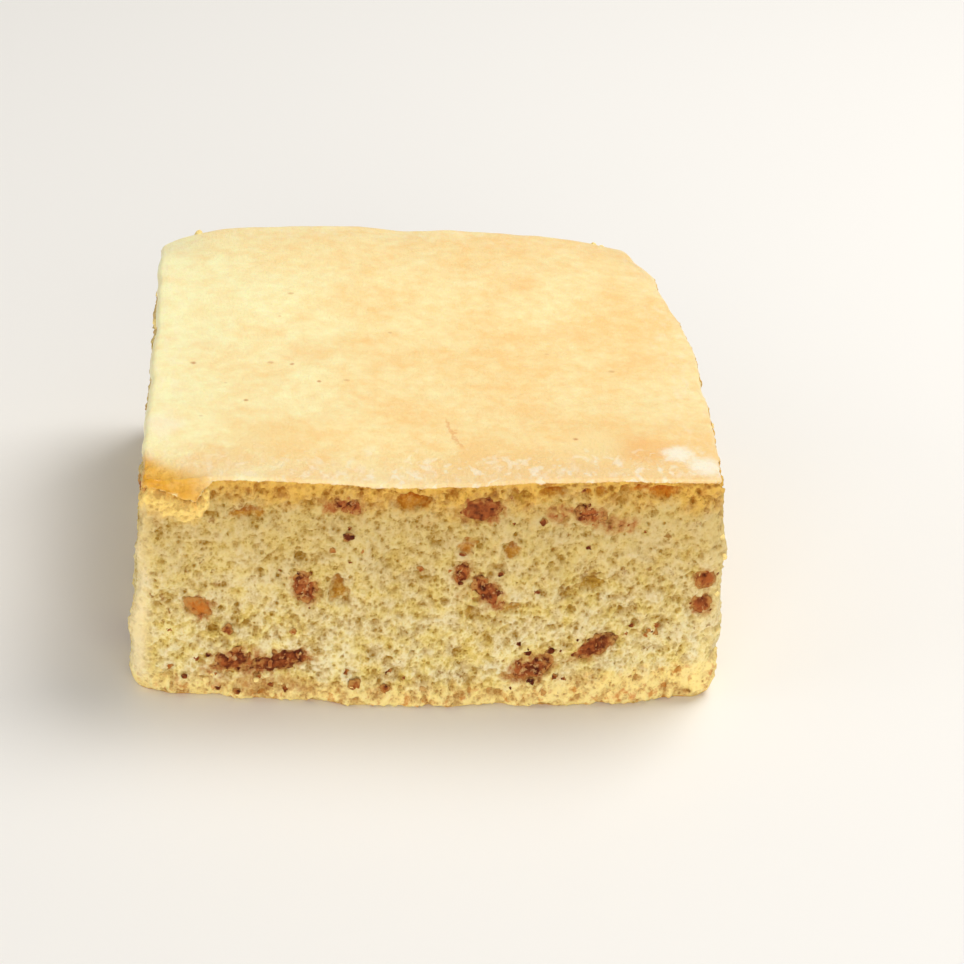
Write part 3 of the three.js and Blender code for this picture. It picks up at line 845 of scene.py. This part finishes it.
low = above_base + wander * 6.0 + ramp(across, 5.0, 45.0, 0.0, -3.5)
browned_base = blend(ramp(scorch, -0.01, -0.18), BASE_GOLD, BASE_BROWN)
browned_base = blend(cell_shade_mask * 0.75, browned_base, BASE_CELL_SHADE)
crumb = blend(ramp(low, 5.5, 1.2, 0.0, 0.85), crumb, browned_base)
# dark dots of painted shade for deep pits, strongest where the bump sinks
pit_shade_dots = use_group(specks, warped(place, 1.1, 2.2, 3.0), Apart=2.6, Size=0.75)
crumb = blend(pit_shade_dots * ramp(roughness, -0.15, 0.2, 0.85, 0.35), crumb, CRUMB_PIT_SHADE)
underside = blend(clouds, BASE_BROWN, BASE_GOLD)
crumb = blend(ramp(above_base, 0.2, 0.03), crumb, underside)
lip_share = mesh_value(tree, "crumb_lip") * ramp(surface, -0.6, 0.1, 0.45, 0.95)
crumb = blend(lip_share, crumb, LIP_GOLD)

# The stain in and round the dates: a tan halo, then brown crumb, darker in its pits, partly the date's own
# dark colour and partly painted shade
stain_mask = mesh_value(tree, "stain") + grains(place, 1.0, 4.0) * 1.6
crumb = blend(ramp(stain_mask, 0.15, 0.85, 0.0, 0.7), crumb, DATE_HALO)
soaked_crumb = blend(ramp(surface, -0.05, -0.7), DATE_FLESH, DATE_DARK)
crumb = blend(ramp(stain_mask, 0.6, 1.15, 0.0, 0.92), crumb, soaked_crumb)

# The skin: pale at the left, peach over the rest, deepest along the front
wide_patches = use_group(patches, place, Size=17.0)
small_patches = use_group(patches, place, Size=4.0)
peach = ramp(across, -50.0, 5.0, 0.0, 0.5) + ramp(deep, -18.0, -40.0, 0.0, 0.28)
peach = peach + wide_patches * 0.34 + across * 0.0018
peach = peach + grains(place, 2.4, 4.0) * 1.3 + 0.04
skin = blend(add_node(tree, "ShaderNodeClamp", {0: peach}), SKIN_PALE, SKIN_PEACH)
skin = blend(wide_patches * small_patches * 0.2, skin, SKIN_ORANGE)
for spot_colour, spot_place, reach, strength in SKIN_SPOTS:
    away = add_node(tree, "ShaderNodeVectorMath", {0: place, 1: spot_place}, 1, operation="DISTANCE")
    away = away + grains(place, 2.5) * reach
    skin = blend(ramp(away, reach, SPOT_CORE * reach, 0.0, strength), skin, spot_colour)

# The painted sheen and the painted glints near the skin's edges, most along the front, and the golden fold
# painted sheen: pale patches near the skin's edges and along its front
sheen_patches = ramp(grains(stretched(place, (1.0, 0.5, 1.0)), 1.3, 4.0), -0.04, 0.2)
near_edge = ramp(lip, 9.0, 3.0, 0.0, 0.3) * ramp(lip, 0.6, 2.0)
near_front = ramp(deep, -30.0, -42.0, 0.0, 0.2)
painted_sheen = (near_edge + near_front) * sheen_patches + ramp(deep, -36.0, -42.0, 0.0, 0.1)
skin = blend(painted_sheen, skin, SKIN_PAINTED_SHEEN)
long_place = stretched(warped(place, 0.25, 7.0), (1.0, 0.4, 1.0))
# painted glints: small pale specks near the front, most at the right
glints = use_group(specks, long_place, Apart=1.5, Size=1.2)
glints = glints * ramp(deep, -28.0, -42.0) * ramp(across, -30.0, 0.0, 0.2, 0.5)
skin = blend(glints, skin, SKIN_GLINT)
fold_colour = blend(small_patches, FOLD_GOLD, FOLD_PALE)
fold_shade = ramp(grains(place, 1.2, 4.0), 0.02, -0.2, 0.0, 0.7)
fold_colour = blend(fold_shade, fold_colour, FOLD_DEEP_GOLD)
skin = blend(mesh_value(tree, "fold"), skin, fold_colour)

# One hair crack that wanders back from the front, and specks
beside_hair = across + deep * HAIR_SLANT + wander * 3.0 + HAIR_PLACE
beside_hair = add_node(tree, "ShaderNodeMath", {0: beside_hair}, operation="ABSOLUTE")
along_hair = ramp(deep, -34.0, -32.0) * ramp(deep, -23.0, -25.0)
skin = blend(ramp(beside_hair, 0.5, 0.1) * along_hair * 0.5, skin, HAIR_CRACK)
dots = use_group(specks, stretched(place, (0.7, 1.0, 1.0)), Apart=6.0, Size=0.65)
skin = blend(dots * 0.4, skin, SPECK_BROWN)

# The skin meets the crumb in a ragged line, and is glossier and smoother
skin_mask = ramp(lip + wander, -0.12, 0.12)
feed(blend(skin_mask, crumb, skin), shader.inputs["Base Color"])
skin_roughness = small_patches * 0.16 + 0.38
feed(mix(skin_mask, CRUMB_ROUGHNESS, skin_roughness), shader.inputs["Roughness"])
crumb_height = roughness + fine_cells * -0.6
wrinkles = grains(stretched(place, (1.0, 0.8, 1.0)), 0.6, 4.0) * (near_front * 5.0 + 0.9)
bumps = mix(skin_mask, crumb_height, wrinkles)
bump = add_node(tree, "ShaderNodeBump", {"Strength": 0.8, "Distance": 0.25 * MM, "Height": bumps})
feed(bump, shader.inputs["Normal"])
feed(skin_mask * 0.45, shader.inputs["Coat Weight"])
for socket, constant in SPONGE_SHADER.items():
    shader.inputs[socket].default_value = constant
sponge.data.materials.append(sponge_finish)
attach(sponge, "root")
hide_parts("sponge")

# The chopped dates
# Pieces of dried red date as the knife left them: moist brown flesh and torn dark skin, almost
# level with the crumb that holds them.
DATE_DETAIL = 4
DATE_SPREAD = 1.2
DATE_SPREADS = {"date_front_4": 1.08, "date_front_6": 1.05, "date_front_9": 1.25, "date_front_10": 1.25}
DATE_LUMPS = ((1.0, 0.2), (0.45, 0.16), (0.2, 0.08))  # size of lump on the ball, and height
DATE_LUMP_SEED = 50
DATE_PITS = ((1.4, 0.34), (0.7, 0.36))  # size of pit and depth
DATE_PIT_SEED = 90
DATE_LIFT = -0.3
DATE_THINNEST = 0.8
DATE_WHOLE = {
    "date_front_1": 0.4, "date_front_2": 0.4, "date_front_3": 0.0, "date_front_4": 0.45,
    "date_front_6": 1.0, "date_front_9": 0.85, "date_front_10": 0.5, "date_front_11": 0.25,
    "date_front_12": -0.1,
}
DATE_WHOLE_LIFT = 0.35
DATE_WHOLE_EVEN = 0.2
DATE_SHADE = {
    "date_front_1": 0.12, "date_front_2": 0.24, "date_front_3": -0.03, "date_front_6": 0.1,
    "date_front_11": 0.08,
}
DATE_ORANGE = {"date_front_4": 0.9, "date_front_9": 0.1}
DATE_ORANGE_FLESH = (198, 118, 42)
DATE_DEEP = (62, 22, 12)
DATE_CRUMB = (218, 170, 110)


def ball(detail):
    """Points and faces of a round ball of radius 1."""
    shape = bmesh.new()
    bmesh.ops.create_icosphere(shape, subdivisions=detail, radius=1.0)
    points = np.array([v.co for v in shape.verts])
    faces = [[v.index for v in face.verts] for face in shape.faces]
    shape.free()
    return points, faces


date_finish, tree, shader = new_material("chopped date", 0.6)
place = position(tree)
torn_flesh = grains(place, 0.9, 4.0)
pits = use_group(gas_cells, place, Size=0.9)
flesh_height = mesh_value(tree, "pit") + (torn_flesh * 1.2 + pits * -0.3)
orange_share = mesh_value(tree, "orange")
unbroken = mesh_value(tree, "whole")
torn_share = unbroken * -1.0 + 1.0
flesh = blend(orange_share, DATE_FLESH, DATE_ORANGE_FLESH)
dark_share = ramp(flesh_height + orange_share * 0.3, 0.25, -0.35) * (torn_share * 0.5 + 0.5)
flesh = blend(dark_share, flesh, DATE_DARK)
flesh = blend(ramp(flesh_height, -0.15, -0.7, 0.0, 0.9), flesh, DATE_DEEP)
ragged_rim = mesh_value(tree, "rim") + torn_flesh * 2.3 + orange_share * 0.3
flesh = blend(ramp(ragged_rim, 0.6, 1.35, 0.0, 0.9), flesh, DATE_HALO)
crumb_bits = ramp(grains(place, 0.8) + unbroken * -0.1, 0.06, 0.18, 0.0, 0.6) * torn_share
feed(blend(crumb_bits, flesh, DATE_CRUMB), shader.inputs["Base Color"])
inputs = {"Strength": 0.9, "Distance": 0.3 * MM, "Height": flesh_height}
feed(add_node(tree, "ShaderNodeBump", inputs), shader.inputs["Normal"])
shader.inputs["Specular IOR Level"].default_value = 0.1

ball_points, ball_faces = ball(DATE_DETAIL)
for number, date in enumerate(dates):
    whole = DATE_WHOLE.get(date["name"], 0.0)
    uneven = 1 - DATE_WHOLE_EVEN * whole
    shape = ball_points.copy()
    for size, rise in DATE_LUMPS:
        swell = rise * uneven * lumps(ball_points, size, DATE_LUMP_SEED + number)
        shape = shape * (1 + swell[:, None])
    half = np.maximum(date["half"], DATE_THINNEST)
    spread = DATE_SPREADS.get(date["name"], DATE_SPREAD)
    shape = date["middle"] + (shape * half * spread) @ date["axes"]
    pit = sum(depth * lumps(shape, size, DATE_PIT_SEED + number) for size, depth in DATE_PITS)
    lift = DATE_LIFT + DATE_WHOLE_LIFT * whole
    for corner, (point, limit) in enumerate(zip(shape.tolist(), lift + pit)):
        wall_point, nearest = wall_tree.find(point)[:2]
        way = wall_way.reshape(-1, 3)[nearest]
        proud = np.dot(np.array(point) - np.array(wall_point), way) - limit
        if proud > 0:
            shape[corner] -= way * proud
    beside = (shape - date["middle"]) @ date["axes"].T / half
    piece = add_mesh("fruit_" + date["name"], shape, ball_faces, {
        "orange": np.full(len(shape), DATE_ORANGE.get(date["name"], 0.0)),
        "whole": np.full(len(shape), whole),
        "rim": np.hypot(beside[:, 0], beside[:, 1]),
        "pit": pit - DATE_SHADE.get(date["name"], 0.0),
    })
    piece.data.materials.append(date_finish)
    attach(piece, "root")
    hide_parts(date["name"])

# The date flecks
# Scraps of date skin and flesh the size of a sesame seed, mixed through the crumb: a few lie
# alone and the rest round the chopped pieces they came from.
FLECK_SEED = 23
FRONT_FLECKS = (  # along the front, up, size and how dark
    (-12.6, 28.4, 0.8, 0.9), (-30.8, 12.2, 0.8, 0.5), (-37.7, 3.6, 0.6, 0.9), (-12.7, 5.9, 0.6, 0.6),
    (-5.8, 6.1, 0.7, 0.9), (-10.7, 3.9, 1.1, 0.5), (-6.3, 3.0, 0.8, 0.5), (-21.8, 2.2, 0.7, 0.6),
    (35.6, 13.0, 0.8, 0.4), (36.2, 14.2, 0.5, 0.5), (34.8, 12.0, 0.4, 0.4), (30.6, 31.4, 0.7, 0.4),
    (17.5, 32.0, 0.6, 0.7), (19.2, 32.7, 0.4, 0.5), (-35.9, 6.7, 0.5, 0.6), (-40.0, 5.4, 0.6, 0.2),
    (-32.3, 1.9, 0.5, 0.7), (-29.3, 2.0, 0.6, 0.6), (-26.1, 4.0, 0.5, 0.6), (-24.3, 3.1, 0.6, 0.6),
    (-33.8, 7.8, 0.4, 0.8), (-40.2, 11.6, 0.4, 0.4), (-20.8, 12.5, 0.5, 0.4), (-18.4, 22.4, 0.5, 0.7),
    (-23.4, 22.8, 0.4, 0.5), (-15.1, 26.5, 0.5, 0.3), (-10.5, 26.3, 0.5, 0.3), (-1.3, 23.2, 0.5, 0.4),
    (-3.1, 5.0, 0.4, 0.5), (5.1, 25.8, 0.5, 0.6), (5.1, 23.0, 0.5, 0.9), (4.7, 21.1, 0.5, 0.9),
    (11.2, 22.9, 0.5, 0.8), (11.1, 19.4, 0.6, 0.9), (10.2, 18.0, 0.6, 0.8), (17.0, 19.8, 0.5, 0.8),
    (24.7, 27.4, 0.4, 0.7), (12.9, 31.5, 0.4, 0.6), (33.1, 29.9, 0.5, 0.5), (23.3, 37.2, 0.5, 0.6),
    (14.7, 11.4, 0.4, 0.8), (16.1, 9.6, 0.6, 0.9), (19.9, 9.9, 0.6, 0.9), (21.8, 4.7, 0.4, 0.8),
    (20.4, 5.7, 0.5, 0.7), (16.7, 4.9, 0.6, 1.0), (31.5, 12.7, 0.4, 0.5), (32.2, 13.9, 0.5, 0.6),
)
FLECKS_BY_A_DATE = 2
FLECKS_REACH = 0.9
FLECKS_ALONE = 8
FLECK_SIZE = (0.22, 0.42)
FLECK_DETAIL = 3
FLECK_LUMP = 0.6
FLECK_LUMP_SEED = 200
FLECK_THICK = 0.35
FLECK_SUNK = 0.15
FLECK_LIGHT_PIT = 0.1
FLECK_DARK_PIT = 0.45
FLECK_ORANGE = 0.5
FLECK_RIM = 1.4
FLECK_FADE = 0.9
LUMP_COARSE = 0.9
LUMP_FINE = 0.35


def place_lumps(places, detail, lump, seed, thick):
    """Points and faces of small lumps in the wall, from the row, column, size and depth of each."""
    unit, unit_faces = ball(detail)
    all_points = []
    all_faces = []
    for number, (row, column, size, sunk) in enumerate(places):
        shape = unit * (1 + lump * lumps(unit, LUMP_COARSE, seed + number)[:, None])
        shape = shape * (1 + 0.5 * lump * lumps(unit, LUMP_FINE, seed + number)[:, None])
        way = wall_way[row, column]
        level_way = np.cross(upright, way)
        if np.linalg.norm(level_way) < 0.1:
            level_way = np.array([1.0, 0.0, 0.0])
        level_way /= np.linalg.norm(level_way)
        axes = np.stack([level_way, np.cross(way, level_way), thick * way])
        middle = dressed_wall[row, column] - way * sunk * size
        all_faces += [[k + number * len(unit) for k in face] for face in unit_faces]
        all_points.append(middle + size * shape @ axes)
    return np.concatenate(all_points), all_faces


def between(limits, share):
    """The number that lies at a share of the way between two limits."""
    return limits[0] + (limits[1] - limits[0]) * share


fleck_random = np.random.default_rng(FLECK_SEED)
fleck_places = []
fleck_darkness = []
for along, up, size, darkness in FRONT_FLECKS:
    fleck_places.append((*front_spot(along, up), size, FLECK_SUNK))
    fleck_darkness.append(darkness)
for date in dates:
    for turn, reach, size in fleck_random.random((FLECKS_BY_A_DATE, 3)):
        angle = 2 * math.pi * turn
        beside = np.array([math.cos(angle), math.sin(angle), 0.0])
        beside = beside * date["half"] * (1.0 + FLECKS_REACH * reach)
        row, column = divmod(wall_tree.find(date["middle"] + beside @ date["axes"])[1], COLUMNS)
        if BASE_STEPS < row < BASE_STEPS + WALL_ROWS:
            fleck_places.append((row, column, between(FLECK_SIZE, size**2), FLECK_SUNK))
for up, along, size in fleck_random.random((FLECKS_ALONE, 3)):
    row = BASE_STEPS + int(up * (WALL_ROWS - 4))
    fleck_places.append((row, int(column_at(along)), between(FLECK_SIZE, size), FLECK_SUNK))
fleck_points, fleck_faces = place_lumps(
    fleck_places, FLECK_DETAIL, FLECK_LUMP, FLECK_LUMP_SEED, FLECK_THICK)
fleck_darkness += fleck_random.random(len(fleck_places) - len(FRONT_FLECKS)).tolist()
fleck_darkness = np.repeat(fleck_darkness, len(fleck_points) // len(fleck_places))
fleck_proud = np.tile(ball(FLECK_DETAIL)[0][:, 2], len(fleck_places))
flecks = add_mesh("date_flecks", fleck_points, fleck_faces, {
    "orange": FLECK_ORANGE * (1 - fleck_darkness),
    "whole": 1 - fleck_darkness,
    "pit": FLECK_LIGHT_PIT - FLECK_DARK_PIT * fleck_darkness,
    "rim": FLECK_RIM * (1 - fleck_proud) + FLECK_FADE * (1 - fleck_darkness),
})
flecks.data.materials.append(date_finish)
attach(flecks, "root")

# The loose crumbs
# Bits of sponge that the knife left clinging to the edges of the cuts, some of them toasted.
# They stick to the moist crumb along the rim of the skin and round the base.
CRUMBS_SEED = 31
EDGE_CRUMBS = (  # place, size and how deep in the wall
    ((-47.0, 24.0, 37.0), 0.8, -0.4),
    ((-47.0, 17.0, 37.2), 1.3, -0.4),
    ((-47.0, 15.0, 37.0), 1.4, -0.4),
    ((-47.0, 11.6, 36.8), 0.9, -0.4),
    ((-47.0, 6.4, 36.8), 0.8, -0.4),
    ((-47.0, -13.0, 36.6), 0.7, -0.4),
    ((-38.0, 46.5, 38.6), 1.0, 0.1),
    ((32.5, 45.5, 39.0), 0.7, 0.3),
    ((34.0, 45.3, 38.8), 0.6, 0.3),
    ((45.6, -26.0, 37.0), 0.7, 0.3),
    ((45.6, -44.0, 29.0), 0.55, 0.3),
    ((45.7, -44.0, 25.5), 0.5, 0.3),
    ((45.9, -44.0, 19.0), 0.5, 0.3),
)
CRUMBS_ALONG_TOP = 36
CRUMBS_ALONG_BASE = 70
TOP_CRUMB_ROWS = (BASE_STEPS + WALL_ROWS - 6, 5)  # first row and how many
BASE_CRUMB_ROWS = (BASE_STEPS, 7)
CRUMB_SIZE = (0.25, 0.65)
CRUMB_DETAIL = 3
CRUMB_LUMP = 0.5
CRUMB_LUMP_SEED = 400
CRUMB_THICK = 0.9
CRUMB_SUNK = 0.3
CRUMB_BROWNED = 0.8

crumbs_random = np.random.default_rng(CRUMBS_SEED)
crumb_places = []
for crumb_place, size, sunk in EDGE_CRUMBS:
    row, column = divmod(wall_tree.find(crumb_place)[1], COLUMNS)
    crumb_places.append((row, column, size, sunk))
crumb_rows = [TOP_CRUMB_ROWS] * CRUMBS_ALONG_TOP + [BASE_CRUMB_ROWS] * CRUMBS_ALONG_BASE
for first_row, rows in crumb_rows:
    up, along, size = crumbs_random.random(3)
    column = int(column_at(along))
    if facing[column, 1] > -0.7 or first_row == BASE_STEPS:
        row = first_row + int(up * rows)
        crumb_places.append((row, column, between(CRUMB_SIZE, size**2), CRUMB_SUNK))
crumb_points, crumb_faces = place_lumps(
    crumb_places, CRUMB_DETAIL, CRUMB_LUMP, CRUMB_LUMP_SEED, CRUMB_THICK)
browned = CRUMB_BROWNED * crumbs_random.random(len(crumb_places)) ** 2
browned[:len(EDGE_CRUMBS)] = 0.0
browned = np.repeat(browned, len(crumb_points) // len(crumb_places))
crumbs = add_mesh("loose_crumbs", crumb_points, crumb_faces, {"browned": browned})

crumb_finish, tree, shader = new_material("loose crumb", 0.9)
crumb_shade = ramp(grains(position(tree), 0.7), 0.1, -0.2) * 0.5
crumb_colour = blend(crumb_shade, BASE_GOLD, CRUMB_DARK_TONE_AND_PAINTED_SHADE)
crumb_colour = blend(mesh_value(tree, "browned"), crumb_colour, TOAST_DARK)
feed(crumb_colour, shader.inputs["Base Color"])
crumbs.data.materials.append(crumb_finish)
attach(crumbs, "root")

# The floor, the light and the camera
# A plain pale floor and soft light from above and the right, with the camera at the height and
# turn of a hand-held picture, tipped a few degrees. The floor and the lights are in metres.
FLOOR_SIZE = 6.0
FLOOR_COLOUR = (240, 238, 234)
LIGHTS = (
    {"name": "key", "place": (0.36, 0.24, 0.7), "size": 0.5, "power": 5.1, "tint": (1.0, 0.98, 0.95)},
    {"name": "fill", "place": (0.0, -0.9, 0.16), "size": 0.9, "power": 7.0, "tint": (1.0, 0.98, 0.96)},
    {"name": "left fill", "place": (-0.8, -0.2, 0.3), "size": 0.6, "power": 1.3, "tint": (1.0, 0.98, 0.96)},
)
LIGHT_AIM = Vector((0, 0, 0.02))
SKY_TINT = (1.0, 0.99, 0.97, 1.0)
SKY_STRENGTH = 0.32
CAMERA_AZIMUTH = math.radians(-4.84)
CAMERA_ELEVATION = math.radians(28.31)
CAMERA_ROLL = math.radians(3.5)
CAMERA_DISTANCE = 509 * MM
CAMERA_TARGET = Vector((11.15, -1.5, 14.86)) * MM
CAMERA_LENS = 112.0
CAMERA_NEAREST = 0.01

floor_mesh = bpy.data.meshes.new("floor")
half = FLOOR_SIZE / 2
floor_corners = [(-half, -half, 0), (half, -half, 0), (half, half, 0), (-half, half, 0)]
floor_mesh.from_pydata(floor_corners, [], [(0, 1, 2, 3)])
floor = bpy.data.objects.new("floor", floor_mesh)
bpy.context.scene.collection.objects.link(floor)
floor_finish, tree, shader = new_material("pale floor", 0.6)
shader.inputs["Base Color"].default_value = colour(FLOOR_COLOUR)
floor_mesh.materials.append(floor_finish)

for light in LIGHTS:
    lamp = bpy.data.lights.new(light["name"], "AREA")
    lamp.size = light["size"]
    lamp.energy = light["power"]
    lamp.color = light["tint"]
    made = bpy.data.objects.new(light["name"], lamp)
    made.location = light["place"]
    made.rotation_euler = (LIGHT_AIM - Vector(light["place"])).to_track_quat("-Z", "Y").to_euler()
    bpy.context.scene.collection.objects.link(made)
world = bpy.data.worlds.new("studio")
bpy.context.scene.world = world
world.use_nodes = True
world.node_tree.nodes["Background"].inputs["Color"].default_value = SKY_TINT
world.node_tree.nodes["Background"].inputs["Strength"].default_value = SKY_STRENGTH
bpy.context.scene.view_settings.view_transform = "Standard"

back_x = math.sin(CAMERA_AZIMUTH) * math.cos(CAMERA_ELEVATION)
back_y = -math.cos(CAMERA_AZIMUTH) * math.cos(CAMERA_ELEVATION)
back = Vector((back_x, back_y, math.sin(CAMERA_ELEVATION)))
camera = bpy.data.objects.new("camera", bpy.data.cameras.new("camera"))
camera.data.lens = CAMERA_LENS
camera.data.clip_start = CAMERA_NEAREST
camera.location = CAMERA_TARGET + back * CAMERA_DISTANCE
aim = (-back).to_track_quat("-Z", "Y").to_matrix()
camera.rotation_euler = (aim @ Matrix.Rotation(CAMERA_ROLL, 3, "Z")).to_euler()
bpy.context.scene.collection.objects.link(camera)
bpy.context.scene.camera = camera
